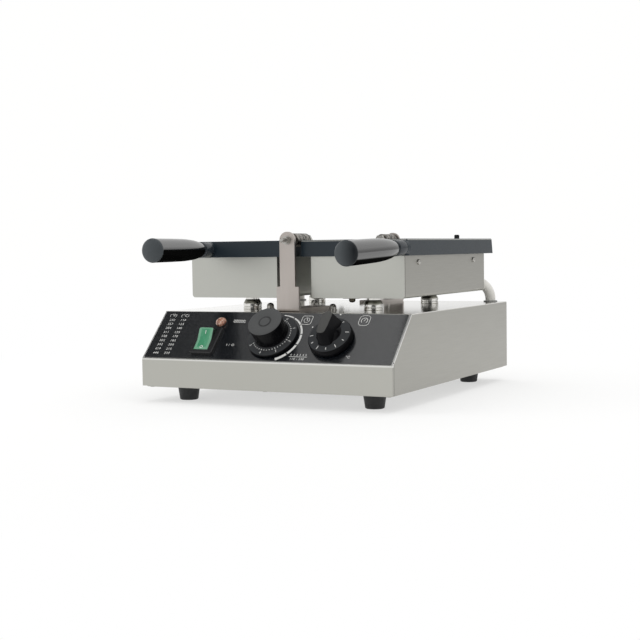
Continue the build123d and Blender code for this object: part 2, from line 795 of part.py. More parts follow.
# Handles: end cap, tapered grip, collar and the stud through them
def handle_parts(root, tip):
    """The four turned pieces of one handle, keyed by name."""
    reach = (Vector(*tip) - Vector(*root)).length
    grip_start = boss_length + collar_length
    grip_end = reach - cap_thickness
    grip_length = grip_end - grip_start
    swell = [(0.1, 1.7), (0.22, 3.1), (0.4, 4.1), (0.65, 4.8)]
    grip = [
        (4.06, grip_start),
        (grip_root_radius - 0.6, grip_start),
        (grip_root_radius, grip_start + 0.8),
        *[(grip_root_radius + rise, grip_start + part * grip_length) for part, rise in swell],
        (grip_tip_radius - 0.2, grip_end),
        (4.06, grip_end),
    ]
    cap = [
        (4.06, grip_end + 0.05),
        (grip_tip_radius - 0.3, grip_end + 0.05),
        (grip_tip_radius, grip_end + 0.6),
        (grip_tip_radius, reach),
        (grip_tip_radius * 0.95, reach + cap_dome * 0.32),
        (grip_tip_radius * 0.83, reach + cap_dome * 0.58),
        (grip_tip_radius * 0.60, reach + cap_dome * 0.82),
        (grip_tip_radius * 0.32, reach + cap_dome * 0.96),
        (0, reach + cap_dome),
        (0, reach - 0.8),
        (4.06, reach - 0.8),
    ]
    collar = [
        (4.06, boss_length + 0.05),
        (8.2, boss_length + 0.05),
        (8.2, boss_length + 2.4),
        (7.4, boss_length + 3.0),
        (7.4, grip_start - 2.6),
        (8.0, grip_start - 2.0),
        (8.0, grip_start - 0.05),
        (4.06, grip_start - 0.05),
    ]
    stud_end = reach - 1.2
    stud = [(0, -stud_grip + 0.5), (4.0, -stud_grip + 0.5), (4.0, stud_end), (0, stud_end)]
    outlines = {"grip": grip, "end_cap": cap, "collar": collar, "stud": stud}
    return {name: turned_on_handle(root, tip, points) for name, points in outlines.items()}


# Both halves, piece by piece
for half, side, root, tip in (
    ("left", -1, left_handle_root, left_handle_tip),
    ("right", 1, right_handle_root, right_handle_tip),
):
    save(pan(side), f"{half}_pan")
    save(pan_screws(side), f"{half}_pan_screws")
    save(heater(side), f"{half}_heater")
    save(heater_clamp(side), f"{half}_heater_clamp")
    save(clamp_studs(side), f"{half}_clamp_studs")
    save(insulation(side), f"{half}_insulation")
    save(pan_gland(side), f"{half}_pan_gland")
    save(lead_sleeve(side), f"{half}_lead_sleeve")
    for name, piece in handle_parts(root, tip).items():
        save(piece, f"{half}_handle_{name}")

# Grommets where the sleeves enter the deck
with BuildPart() as deck_grommets:
    bore = sleeve_radius + grommet_gap
    neck = grommet_neck_radius - 0.08
    lip = grommet_neck_radius + grommet_lip
    ring = [(bore, deck_z - 3.2), (lip, deck_z - 3.2), (lip, deck_z - sheet - 0.02)]
    ring += [(neck, deck_z - sheet - 0.02), (neck, deck_z + 0.02), (lip, deck_z + 0.02)]
    ring += [(lip - 0.3, deck_z + 1.5), (bore, deck_z + 1.8)]
    with Locations(*[(side * sleeve_foot[0], sleeve_foot[1]) for side in (-1, 1)]):
        add(turned_on(Plane.XY, ring))
save(deck_grommets.part, "deck_grommets")

# Power switch: bezel body in the panel, tilting two-faced rocker
bezel_top = panel_thickness + bezel_height
rocker_spot = (rocker_at[0] + rocker_shift, rocker_at[1])
with BuildPart() as switch_body:
    with BuildSketch(on_slope(rocker_at, panel_thickness)):
        RectangleRounded(*switch_frame, 2)
    extrude(amount=bezel_top - panel_thickness)
    frame_top = switch_body.faces().sort_by(Axis(slope.origin, slope.z_dir))[-1]
    chamfer(frame_top.outer_wire().edges(), length=0.8)
    with BuildSketch(on_slope(rocker_at, panel_thickness)):
        Rectangle(*switch_case)
    extrude(amount=-22)
    with BuildSketch(on_slope(rocker_spot, bezel_top)):
        Rectangle(rocker_width + 2 * rocker_gap, rocker_length + 2 * rocker_end_gap)
    extrude(amount=-(bezel_top + 9), mode=Mode.SUBTRACT)
    with BuildSketch(on_slope(rocker_at, -panel_thickness - 20.5)):
        with GridLocations(11, 12, 2, 2):
            Rectangle(0.8, 6.3)
    extrude(amount=-8)
save(switch_body.part, "switch_body")

# The rocker's section: two flat faces meeting at a shallow valley, narrowed below the pivot
rocker_plane = on_slope(rocker_spot, rocker_pivot_height)
side_view = Plane(origin=rocker_plane.origin, x_dir=rocker_plane.y_dir, z_dir=rocker_plane.x_dir)
half_length = rocker_length / 2
with BuildPart() as rocker:
    with BuildSketch(side_view):
        with BuildLine():
            Polyline(
                (-half_length, -1.0),
                (-half_length, rocker_high),
                (0, rocker_valley),
                (half_length, rocker_high),
                (half_length, -1.0),
                (5, -6.0),
                (-5, -6.0),
                close=True,
            )
        make_face()
    extrude(amount=rocker_width / 2, both=True)
rocker_rest = rocker.part.rotate(Axis(rocker_plane.origin, rocker_plane.x_dir), rocker_rest_tilt)
save(rocker_rest, "rocker")

# Indicator lamp: bezel ring with a body behind, and its domed lens
lamp_plane = on_slope(lamp_at)
lamp_body_outline = [
    (0, -16),
    (4.9, -16),
    (4.9, panel_thickness),
    (lamp_radius + 0.5, panel_thickness),
    (lamp_radius + 0.5, panel_thickness + 1.4),
    (lamp_radius + 0.1, panel_thickness + 1.4),
    (lamp_radius + 0.1, panel_thickness + 0.8),
    (0, panel_thickness + 0.8),
]
save(turned_on(lamp_plane, lamp_body_outline), "lamp_body")
lens_base = panel_thickness + 0.85
lamp_lens_outline = [
    (0, lens_base),
    (lamp_radius, lens_base),
    (lamp_radius, lens_base + 1.4),
    (lamp_radius - 0.7, lens_base + 3.0),
    (lamp_radius - 2.3, lens_base + 4.4),
    (lamp_radius - 4.5, lens_base + 5.2),
    (0, lens_base + 5.4),
]
save(turned_on(lamp_plane, lamp_lens_outline), "lamp_lens")


# Rotary controls: bodies behind the panel, shafts through it, knobs in front
def control_body(spot, half_width, depth):
    """A boxed control with a round mounting bush through the panel."""
    with BuildPart() as body:
        with BuildSketch(on_slope(spot, -sheet - 0.05)):
            RectangleRounded(2 * half_width, 2 * half_width, 5)
        extrude(amount=-depth)
        with BuildSketch(on_slope(spot, -sheet - 0.05)):
            Circle(5.0)
        extrude(amount=sheet + panel_thickness + 0.6)
        with BuildSketch(on_slope(spot, panel_thickness + 0.6)):
            Circle(shaft_radius + shaft_clearance)
        extrude(amount=-(depth - 6), mode=Mode.SUBTRACT)
    return body.part


def control_shaft(spot, height):
    """A round spindle from inside the body up into the knob."""
    with BuildPart() as spindle:
        with BuildSketch(on_slope(spot, -14)):
            Circle(shaft_radius)
        extrude(amount=14 + height)
    return spindle.part


save(control_body(timer_at, 24, 30), "timer_body")
save(control_body(thermostat_at, 20, 26), "thermostat_body")
save(control_shaft(timer_at, timer_shaft_height), "timer_shaft")
save(control_shaft(thermostat_at, thermostat_shaft_height), "thermostat_shaft")

# Timer knob: graduated skirt and a tall drum with a dished cap
skirt_lift = panel_thickness + 1.6
timer_outline = [
    (shaft_radius + thread_gap, skirt_lift),
    (timer_skirt_radius - 0.6, skirt_lift),
    (timer_skirt_radius, skirt_lift + 0.6),
    (timer_skirt_radius, skirt_lift + 2.2),
    (timer_skirt_radius - 1.0, skirt_lift + 3.0),
    (timer_drum_radius + 0.6, skirt_lift + 4.6),
    (timer_drum_radius - 0.8, skirt_lift + 8),
    (timer_drum_radius, timer_height - 2),
    (timer_drum_radius - 0.8, timer_height - 0.8),
    (timer_drum_radius - 5.5, timer_height),
    (timer_drum_radius - 7.0, timer_height - 1.2),
    (0, timer_height - 1.2),
    (0, timer_shaft_height + 0.05),
    (shaft_radius + thread_gap, timer_shaft_height + 0.05),
]
save(turned_on(on_slope(timer_at), timer_outline), "timer_knob")

# Thermostat knob: sloped skirt with a tall pointer grip across it
thermostat_plane = on_slope(thermostat_at)
thermostat_outline = [
    (thermostat_skirt_radius - 0.4, skirt_lift),
    (thermostat_skirt_radius, skirt_lift + 0.6),
    (thermostat_skirt_radius - 0.6, thermostat_skirt_height - 1.2),
    (thermostat_skirt_radius - 2.0, thermostat_skirt_height),
    (16, thermostat_skirt_height + 1.6),
    (12, thermostat_skirt_height + 6),
    (0, thermostat_skirt_height + 6),
    (0, skirt_lift),
]
with BuildPart() as thermostat_knob:
    add(turned_on(thermostat_plane, thermostat_outline))
    with BuildSketch(on_slope(thermostat_at, thermostat_skirt_height)):
        with BuildLine():
            Polyline(*pointer_outline, close=True)
        make_face()
    extrude(amount=thermostat_height - thermostat_skirt_height, taper=pointer_taper)
    with BuildSketch(on_slope(thermostat_at, skirt_lift)):
        Circle(shaft_radius + thread_gap)
    extrude(amount=thermostat_shaft_height + 0.05 - skirt_lift, mode=Mode.SUBTRACT)
save(thermostat_knob.part, "thermostat_knob")

# Thermostat bulb and its capillary stub, clipped under the right mould
bulb_z = mould_under_z - 4
with BuildPart() as thermostat_bulb:
    with BuildSketch(Plane.XZ.offset(-(pan_front_y + 40))):
        with Locations((pan_mid_x, bulb_z)):
            Circle(3)
    extrude(amount=-70)
save(thermostat_bulb.part, "thermostat_bulb")

# Terminal block on the floor plate
with BuildPart() as terminal_block:
    with BuildSketch(Plane.XY.offset(base_bottom_z)):
        with Locations((gland_at[0] + 20, rear_y - 60)):
            Rectangle(58, 24)
    extrude(amount=20)
    with BuildSketch(Plane.XY.offset(base_bottom_z + 20)):
        with Locations((gland_at[0] + 20, rear_y - 60)):
            with GridLocations(13, 12, 4, 2):
                Circle(3)
    extrude(amount=-8, mode=Mode.SUBTRACT)
save(terminal_block.part, "terminal_block")

# Cord gland in the rear wall, with its lock nut inside
gland_plane = Plane(origin=(gland_at[0], rear_y, gland_at[1]), x_dir=(1, 0, 0), z_dir=(0, 1, 0))
gland_outline = [
    (4.2, -10),
    (gland_thread_radius - 0.05, -10),
    (gland_thread_radius - 0.05, 0.02),
    (12, 0.02),
    (12, 5),
    (10.5, 6),
    (10.5, 12),
    (8, 17),
    (4.2, 17),
]
with BuildPart() as cord_gland:
    add(turned_on(gland_plane, gland_outline))
    with BuildSketch(Plane.XZ.offset(-rear_y + sheet)):
        with Locations(gland_at):
            RegularPolygon(11, 6, major_radius=False)
            Circle(gland_thread_radius, mode=Mode.SUBTRACT)
    extrude(amount=4.5)
save(cord_gland.part, "cord_gland")

# Earth straps under the pans, each held by a dome nut on a stud through the floor
strap_outline = [
    (0, pan_bottom_z - 6.6),
    (2.4, pan_bottom_z - 6.2),
    (3.9, pan_bottom_z - 4.8),
    (4.2, pan_bottom_z - strap_thickness - 0.02),
    (upright_stud_radius, pan_bottom_z - strap_thickness - 0.02),
    (upright_stud_radius, pan_bottom_z + 4),
    (0, pan_bottom_z + 4),
]
strap_stud = turned_on(Plane.XY, strap_outline)
for half, side in (("left", -1), ("right", 1)):
    with BuildPart() as strap:
        with BuildSketch(Plane.XY.offset(pan_bottom_z - strap_thickness)):
            with Locations(strap_spot(side)):
                RectangleRounded(22, 12, 2)
                Circle(upright_stud_radius + thread_gap, mode=Mode.SUBTRACT)
        extrude(amount=strap_thickness)
        with Locations(strap_spot(side)):
            add(strap_stud)
    save(strap.part, f"{half}_earth_strap")
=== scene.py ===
"""Mini cake maker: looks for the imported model, in metres, in the row frame."""

from math import atan2, cos, pi, radians, sin

import bmesh
import bpy
from mathutils import Matrix, Vector


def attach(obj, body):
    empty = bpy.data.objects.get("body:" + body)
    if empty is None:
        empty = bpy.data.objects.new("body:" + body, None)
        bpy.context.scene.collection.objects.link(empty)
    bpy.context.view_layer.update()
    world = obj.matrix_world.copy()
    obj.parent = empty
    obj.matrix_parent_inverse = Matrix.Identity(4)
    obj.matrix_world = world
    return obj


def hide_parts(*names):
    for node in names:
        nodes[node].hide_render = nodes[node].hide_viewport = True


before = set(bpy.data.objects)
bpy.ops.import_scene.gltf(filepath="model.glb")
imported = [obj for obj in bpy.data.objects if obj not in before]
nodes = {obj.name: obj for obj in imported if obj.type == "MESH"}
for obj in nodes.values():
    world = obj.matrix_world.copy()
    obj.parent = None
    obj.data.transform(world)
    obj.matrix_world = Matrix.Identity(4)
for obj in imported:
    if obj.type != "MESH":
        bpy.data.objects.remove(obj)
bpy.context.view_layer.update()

# Studio: a white sweep of paper in a pale room, with the camera low and to the
# right of the front. Bare metal sees white walls, a dark doorway behind the
# camera and an overhead screen that stops short of the left side.
lens_mm = 71.30
eye = Vector((0.7420, -1.47897, 0.1885))
swing, drop, lean = radians(27.016), radians(3.271), radians(-0.779)
ahead = Vector((-sin(swing) * cos(drop), cos(swing) * cos(drop), -sin(drop)))
level_right = ahead.cross(Vector((0, 0, 1))).normalized()
level_up = level_right.cross(ahead)
to_right = level_right * cos(lean) + level_up * sin(lean)
upward = level_up * cos(lean) - level_right * sin(lean)

camera = bpy.data.objects.new("camera", bpy.data.cameras.new("camera"))
camera.data.lens = lens_mm
camera.data.sensor_width = 36.0
camera.data.clip_start = 0.05
camera.matrix_world = Matrix.Translation(eye) @ Matrix((to_right, upward, -ahead)).transposed().to_4x4()
bpy.context.scene.collection.objects.link(camera)
bpy.context.scene.camera = camera
bpy.context.scene.view_settings.view_transform = "Standard"


class Level:
    """A value, colour or direction on its way through the nodes, so that a finish reads as sums."""

    def __init__(self, wiring, socket):
        self.wiring = wiring
        self.socket = socket

    def maths(self, operation, *levels):
        return self.wiring.step("ShaderNodeMath", {"operation": operation}, dict(enumerate(levels)))

    def __add__(self, other):
        return self.maths("ADD", self, other)

    def __mul__(self, other):
        return self.maths("MULTIPLY", self, other)

    def __sub__(self, other):
        return self.maths("SUBTRACT", self, other)

    def __rsub__(self, other):
        return self.maths("SUBTRACT", other, self)

    def __gt__(self, other):
        return self.maths("GREATER_THAN", self, other)

    def __lt__(self, other):
        return self.maths("LESS_THAN", self, other)

    def __abs__(self):
        return self.maths("ABSOLUTE", self)

    def most(self, other):
        return self.maths("MAXIMUM", self, other)

    __radd__ = __add__
    __rmul__ = __mul__


class Wiring:
    """A node tree: one call adds one node."""

    def __init__(self, tree):
        self.tree = tree

    def put(self, socket, value):
        """Feeds a socket from a level, or sets it."""
        if isinstance(value, Level):
            self.tree.links.new(value.socket, socket)
        elif hasattr(socket.default_value, "__len__") and not hasattr(value, "__len__"):
            socket.default_value = [value] * len(socket.default_value)
        elif hasattr(value, "__len__") and len(value) == 3 and len(socket.default_value) == 4:
            socket.default_value = (*value, 1.0)
        else:
            socket.default_value = value

    def step(self, kind, settings, inputs, output=0):
        """Adds one node: its settings first, then its sockets."""
        node = self.tree.nodes.new(kind)
        for name, value in settings.items():
            setattr(node, name, value)
        for socket, value in inputs.items():
            self.put(node.inputs[socket], value)
        return Level(self, node.outputs[output])

    def axis(self, letter, source="Object"):
        """One coordinate of the spot: on the piece in metres, or of a direction in the room."""
        spot = self.step("ShaderNodeTexCoord", {}, {}, source)
        return self.step("ShaderNodeSeparateXYZ", {}, {0: spot}, letter)

    def fit(self, amount, low, high, to_low=0.0, to_high=1.0):
        """Amount from low..high mapped to to_low..to_high and held there."""
        return self.step("ShaderNodeMapRange", {}, {0: amount, 1: low, 2: high, 3: to_low, 4: to_high})


class Finish(Wiring):
    """One surface finish: a Principled shader and what drives it."""

    def __init__(self, name, colour, roughness, metallic=0.0, **fixed):
        self.material = bpy.data.materials.new(name)
        self.material.use_nodes = True
        super().__init__(self.material.node_tree)
        self.shader = self.tree.nodes["Principled BSDF"]
        self.set("Base Color", colour)
        self.set("Roughness", roughness)
        self.set("Metallic", metallic)
        for socket, value in fixed.items():
            self.set(socket.replace("_", " "), value)

    def set(self, socket, value):
        self.put(self.shader.inputs[socket], value)

    def cloud(self, scale, stretch=(1, 1, 1), detail=3.0):
        """Noise from 0 to 1, stretched along the axes with small factors."""
        spot = self.step("ShaderNodeTexCoord", {}, {}, "Object")
        laid = self.step("ShaderNodeMapping", {}, {"Vector": spot, "Scale": stretch})
        return self.step("ShaderNodeTexNoise", {}, {"Vector": laid, "Scale": scale, "Detail": detail})

    def between(self, amount, low, high):
        """A colour from low to high as amount goes from 0 to 1."""
        blend = {"data_type": "RGBA", "clamp_factor": True}
        return self.step("ShaderNodeMix", blend, {"Factor": amount, 6: low, 7: high}, 2)

    def relief(self, height, strength, distance=0.001):
        """Bump from a height."""
        bump = self.step("ShaderNodeBump", {}, {"Height": height, "Strength": strength, "Distance": distance})
        self.set("Normal", bump)


def softbox(name, centre, target, width, height, watts):
    """A soft rectangular lamp facing a point, not mirrored in bare metal."""
    lamp = bpy.data.objects.new(name, bpy.data.lights.new(name, "AREA"))
    lamp.data.shape = "RECTANGLE"
    lamp.data.size = width
    lamp.data.size_y = height
    lamp.data.energy = watts
    lamp.visible_glossy = False
    aim = Vector(target) - Vector(centre)
    lamp.matrix_world = Matrix.Translation(centre) @ aim.to_track_quat("-Z", "Y").to_matrix().to_4x4()
    bpy.context.scene.collection.objects.link(lamp)


bpy.context.scene.world = bpy.data.worlds.new("room")
bpy.context.scene.world.use_nodes = True
room = Wiring(bpy.context.scene.world.node_tree)
east, north, high = (room.axis(letter, "Generated") for letter in "XYZ")
turned_east, turned_north = 0.454, 0.891
door_shade, ceiling_shade, wall_shade = 0.9, 0.93, 0.42
doorway = room.fit(east * turned_east - north * turned_north, 0.84, 0.95) * room.fit(abs(high), 0.45, 0.3)
ceiling_end = room.fit(high, 0.45, 0.7) * room.fit(east, -0.435, -0.505)
right_wall = room.fit(east * turned_east + north * turned_north, 0.55, 0.95) * room.fit(high, 0.3, 0.1)
mirrored = 1.0 - doorway * door_shade - ceiling_end * ceiling_shade - right_wall * wall_shade
ray_kinds = ("Camera", "Glossy", "Transmission")
ray = {kind: room.step("ShaderNodeLightPath", {}, {}, f"Is {kind} Ray") for kind in ray_kinds}
ambient = 0.8
lit = ambient + ray["Glossy"] * (mirrored - ambient)
strength = lit + ray["Camera"].most(ray["Transmission"]) * (1.0 - lit)
sky = room.tree.nodes["Background"]
room.put(sky.inputs["Color"], (1.0, 1.0, 0.995))
room.put(sky.inputs["Strength"], strength)

softbox("overhead_lamp", (0.1, 0.2, 1.9), (0, 0, 0.1), 2.4, 1.6, 16.0)
softbox("left_lamp", (-1.8, -0.9, 1.0), (0, 0, 0.1), 1.2, 1.4, 6.0)

sweep_mesh = bmesh.new()
bmesh.ops.create_grid(sweep_mesh, x_segments=1, y_segments=1, size=9.0)
sweep = bpy.data.objects.new("paper_floor", bpy.data.meshes.new("paper_floor"))
sweep_mesh.to_mesh(sweep.data)
sweep_mesh.free()
bpy.context.scene.collection.objects.link(sweep)
paper = Finish("paper", (0.9, 0.9, 0.89), 0.9)
paper.set("Base Color", paper.between(paper.cloud(3.0), (0.89, 0.89, 0.885), (0.91, 0.91, 0.9)))
paper.set("Specular IOR Level", 0.0)
spot = paper.step("ShaderNodeTexCoord", {}, {}, "Object")
away = paper.step("ShaderNodeVectorMath", {"operation": "LENGTH"}, {0: spot}, "Value")
seen = {kind: paper.step("ShaderNodeLightPath", {}, {}, f"Is {kind} Ray") for kind in ray}
white = paper.step("ShaderNodeEmission", {}, {"Color": (1.0, 1.0, 1.0), "Strength": 1.0})
plain = Level(paper, paper.shader.outputs[0])
glow = paper.fit(away, 0.35, 0.85, 0.55, 1.0) * seen["Camera"].most(seen["Glossy"]).most(seen["Transmission"])
mixed = paper.step("ShaderNodeMixShader", {}, {0: glow, 1: plain, 2: white})
paper.put(paper.tree.nodes["Material Output"].inputs["Surface"], mixed)
sweep.data.materials.append(paper.material)

# Base: one stainless sheet folded into a box with a sloped front, satin on the
# lip and sides and polished on the deck; a louvred floor plate is screwed under
# it. The side flaps close on the front with a fine open seam.
front_face_y = -0.17887
side_face_x = 0.170
slope_foot_z = 0.054
deck_height = 0.110
seam_set_back = 0.0034


def dress(finish, *names):
    """Gives CAD nodes a finish."""
    for name in names:
        mesh = nodes[name].data
        mesh.materials.clear()
        mesh.materials.append(finish.material)


satin = Finish("satin_stainless", (0.46, 0.465, 0.43), 0.34, 1.0)
brushed = satin.cloud(900, (1, 0.02, 1), 2.0)
off_centre, depth, height = abs(satin.axis("X")), satin.axis("Y"), satin.axis("Z")
polish = satin.fit(height, deck_height - 0.0012, deck_height - 0.0002)
seam = (abs(depth - (front_face_y + seam_set_back)) < 0.0004) * (off_centre > side_face_x - 0.0010)
# A light line along the bend at the foot of the slope: a painted highlight.
bend_highlight = satin.fit(height, slope_foot_z - 0.0018, slope_foot_z - 0.0008) * (depth < front_face_y + 0.003)
slope_skin = (height - depth > slope_foot_z - front_face_y - 0.0018) * (height > slope_foot_z + 0.0010)
# A light line along the slope's side edges: a painted highlight.
slope_edge_highlight = slope_skin * (height < deck_height - 0.0008) * (off_centre > side_face_x - 0.0024)
steel_tone = satin.between(satin.cloud(7), (0.455, 0.452, 0.415), (0.485, 0.482, 0.445))
# The sides of the base are darker: painted shade.
side_shade_tone = satin.between((off_centre > side_face_x - 0.0004) * 0.75, steel_tone, (0.36, 0.352, 0.322))
bend_highlight_tone = satin.between(bend_highlight, side_shade_tone, (0.74, 0.74, 0.71))
edge_highlight_tone = satin.between(slope_edge_highlight, bend_highlight_tone, (0.86, 0.86, 0.84))
deck_tone = satin.between(polish, edge_highlight_tone, (0.74, 0.73, 0.70))
satin.set("Base Color", satin.between(seam, deck_tone, (0.05, 0.05, 0.048)))
satin.set("Roughness", satin.fit(brushed, 0.3, 0.7, 0.31, 0.38) * (1.0 - polish * 0.66))
satin.relief(brushed, 0.02, 0.0003)
dress(satin, "base_housing", "bottom_plate")

rubber = Finish("black_rubber", (0.012, 0.013, 0.014), 0.55)
rubber.set("Base Color", rubber.between(rubber.cloud(300), (0.010, 0.011, 0.012), (0.018, 0.019, 0.020)))
rubber.set("Roughness", rubber.fit(rubber.cloud(500), 0.3, 0.7, 0.45, 0.65))
dress(rubber, "feet", "cord_gland")

zinc = Finish("zinc_fasteners", (0.42, 0.41, 0.385), 0.28, 1.0)
zinc.set("Base Color", zinc.between(zinc.cloud(240), (0.34, 0.33, 0.31), (0.50, 0.49, 0.46)))
zinc.set("Roughness", zinc.fit(zinc.cloud(500), 0.3, 0.7, 0.2, 0.36))
dress(
    zinc, "front_pivot_bolt", "rear_pivot_bolt", "front_pivot_nut", "rear_pivot_nut", "pivot_washers",
    "deck_dome_nuts", "floor_screws", "foot_screws", "timer_shaft", "thermostat_shaft",
    "left_pan_screws", "left_clamp_studs", "left_handle_stud",
    "right_pan_screws", "right_clamp_studs", "right_handle_stud",
)

moulded = Finish("grey_moulding", (0.30, 0.30, 0.29), 0.5)
moulded.set("Base Color", moulded.between(moulded.cloud(160), (0.27, 0.27, 0.26), (0.34, 0.34, 0.33)))
dress(moulded, "terminal_block", "timer_body", "thermostat_body")

# Rest posts: turned from bar and chromed, with a broad grooved body, a rounded
# shoulder and a neck on which the pans lie. Each is screwed into the deck.
mm = 0.001
post_spots = [(x, y) for x in (-0.0865, 0.0865) for y in (-0.04662, 0.13838)]
post_outline = [
    (0, 110.0), (11.5, 110.0), (12.0, 110.5), (12.0, 112.6), (11.3, 113.0), (11.3, 113.5), (12.0, 113.9),
    (12.0, 117.2), (11.6, 118.4), (9.9, 121.4), (8.8, 122.8), (8.8, 125.9), (8.4, 126.3), (0, 126.3),
]


def lathe(mesh, outline, steps=72):
    """Turns an outline of (radius, height) in millimetres about the Z axis."""
    corners = [mesh.verts.new((radius * mm, 0, height * mm)) for radius, height in outline]
    edges = [mesh.edges.new(pair) for pair in zip(corners, corners[1:])]
    if outline[0][0] > 0:
        edges.append(mesh.edges.new((corners[-1], corners[0])))
    bmesh.ops.spin(
        mesh, geom=corners + edges, cent=(0, 0, 0), axis=(0, 0, 1), dvec=(0, 0, 0),
        angle=2 * pi, steps=steps, use_merge=True, use_duplicate=False,
    )


def turned_piece(name, outlines, steps=72):
    """One mesh of turned shapes; outlines are pairs of an outline and its frame."""
    whole = bmesh.new()
    for outline, where in outlines:
        part = bmesh.new()
        lathe(part, outline, steps=steps)
        bmesh.ops.remove_doubles(part, verts=part.verts, dist=1e-6)
        bmesh.ops.recalc_face_normals(part, faces=part.faces)
        part.transform(where)
        shape = bpy.data.meshes.new(name)
        part.to_mesh(shape)
        part.free()
        whole.from_mesh(shape)
        bpy.data.meshes.remove(shape)
    return make_piece(name, whole)


def make_piece(name, mesh, crease=0.55):
    """Turns a finished mesh into an object, smooth but for its sharp edges."""
    for face in mesh.faces:
        face.smooth = True
    for edge in mesh.edges:
        edge.smooth = not (edge.is_manifold and edge.calc_face_angle(0) > crease)
    shape = bpy.data.meshes.new(name)
    mesh.to_mesh(shape)
    mesh.free()
    piece = bpy.data.objects.new(name, shape)
    bpy.context.scene.collection.objects.link(piece)
    return piece


def fix(piece, finish, body, slot, *replaced):
    """Finishes a piece, hangs it on its body and hides the nodes that it stands for."""
    piece.data.materials.append(finish.material)
    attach(piece, body)
    if replaced:
        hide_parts(*replaced)


chrome = Finish("turned_chrome", (0.72, 0.71, 0.68), 0.09, 1.0)
lines = chrome.cloud(1500, (0.05, 0.05, 1), 1.0)
chrome.set("Base Color", chrome.between(lines, (0.66, 0.65, 0.62), (0.76, 0.75, 0.72)))
chrome.set("Roughness", chrome.fit(lines, 0.3, 0.7, 0.07, 0.15))
standing = [(post_outline, Matrix.Translation((x, y, 0))) for x, y in post_spots]
posts = turned_piece("rest_posts_turned", standing)
fix(posts, chrome, "base", "post_chrome", "rest_posts")

# Control panel: black lacquered sheet on the slope, printed in white with a
# table of matching Fahrenheit and Celsius numbers, a tapering bar round the
# timer, index dots, two framed symbols and small marks by each control.
slope_frame = Matrix((
    (1, 0, 0, 0),
    (0, 0.5**0.5, -(0.5**0.5), front_face_y),
    (0, 0.5**0.5, 0.5**0.5, slope_foot_z),
    (0, 0, 0, 1),
))
panel_face = 1.0
print_depth = 0.06
ink_lift = panel_face + print_depth / 2
timer_at = (3.0, 37.5)
thermostat_at = (82.0, 36.0)
table_celsius = range(110, 231, 15)
table_top, table_step = 63.5, 6.79
fahrenheit_x, celsius_x = -153.2, -136.9
figure_height = 3.5
fine_line = 0.6

fascia = Finish("black_fascia", (0.012, 0.013, 0.015), 0.2, 0.0, IOR=1.95)
fascia.set("Base Color", fascia.between(fascia.cloud(40), (0.003, 0.004, 0.0055), (0.005, 0.0065, 0.009)))
fascia.set("Roughness", fascia.fit(fascia.cloud(400), 0.3, 0.7, 0.16, 0.25))
dress(fascia, "control_panel")

ink = Finish("white_ink", (0.75, 0.75, 0.73), 0.5)
ink.set("Base Color", ink.between(ink.cloud(900), (0.66, 0.66, 0.64), (0.82, 0.82, 0.80)))
print_mesh = bmesh.new()


def on_slope(x, up, lift=0.0):
    """Frame of a spot on the slope, in millimetres."""
    return slope_frame @ Matrix.Translation((x * mm, up * mm, lift * mm))


def stamp(target, source, where):
    """Adds a shape drawn flat at the origin to a mesh, at its place."""
    bmesh.ops.recalc_face_normals(source, faces=source.faces)
    source.transform(where)
    shape = bpy.data.meshes.new("stamp")
    source.to_mesh(shape)
    source.free()
    target.from_mesh(shape)
    bpy.data.meshes.remove(shape)


def figures(target, text, height, where):
    """Adds figures with their middle at the frame's origin; height is a capital's, in millimetres."""
    capital_share, letter_gap = 0.73, 1.18
    letters = bpy.data.curves.new("figures", "FONT")
    letters.body = text
    letters.size = height * mm / capital_share
    letters.align_x = "CENTER"
    letters.space_character = letter_gap
    letters.extrude = print_depth / 2 * mm
    letters.resolution_u = 2
    holder = bpy.data.objects.new("figures", letters)
    shape = bpy.data.meshes.new_from_object(holder)
    flat = bmesh.new()
    flat.from_mesh(shape)
    bmesh.ops.remove_doubles(flat, verts=flat.verts, dist=1e-7)
    bmesh.ops.translate(flat, vec=(0, -height / 2 * mm, 0), verts=flat.verts)
    bpy.data.meshes.remove(shape)
    bpy.data.objects.remove(holder)
    stamp(target, flat, where)


def band(target, radius, width, start, end, where, width_share=None, steps=12):
    """Adds a flat bar bent round the origin between two angles; width_share thins it by angle."""
    arc = bmesh.new()
    inner, outer, half_depth = (radius - width / 2) * mm, (radius + width / 2) * mm, print_depth / 2 * mm
    profile = [(inner, -half_depth), (outer, -half_depth), (outer, half_depth), (inner, half_depth)]
    corners = [arc.verts.new((reach * cos(start), reach * sin(start), z)) for reach, z in profile]
    end_face = arc.faces.new(corners)
    closed = end - start > 2 * pi - 0.01
    bmesh.ops.spin(
        arc, geom=[end_face, *end_face.edges, *end_face.verts], cent=(0, 0, 0), axis=(0, 0, 1),
        dvec=(0, 0, 0), angle=end - start, steps=steps, use_merge=closed, use_duplicate=False,
    )
    if closed:
        bmesh.ops.remove_doubles(arc, verts=arc.verts, dist=1e-7)
        bmesh.ops.delete(arc, geom=[face for face in arc.faces if face is end_face], context="FACES")
    if width_share:
        for corner in arc.verts:
            reach = Vector((corner.co.x, corner.co.y)).length
            thinned = radius * mm + (reach - radius * mm) * width_share(atan2(corner.co.y, corner.co.x))
            corner.co.xy = corner.co.xy * (thinned / reach)
    stamp(target, arc, where)


def bar(target, length, width, where):
    """Adds a flat bar lying along the frame's X axis."""
    strip = bmesh.new()
    bmesh.ops.create_cube(strip, size=mm)
    bmesh.ops.scale(strip, vec=(length, width, print_depth), verts=strip.verts)
    stamp(target, strip, where)


def dot(target, radius, where):
    """Adds a printed dot."""
    disc = bmesh.new()
    bmesh.ops.create_cone(
        disc, cap_ends=True, cap_tris=False, segments=16, radius1=radius * mm, radius2=radius * mm,
        depth=print_depth * mm,
    )
    stamp(target, disc, where)


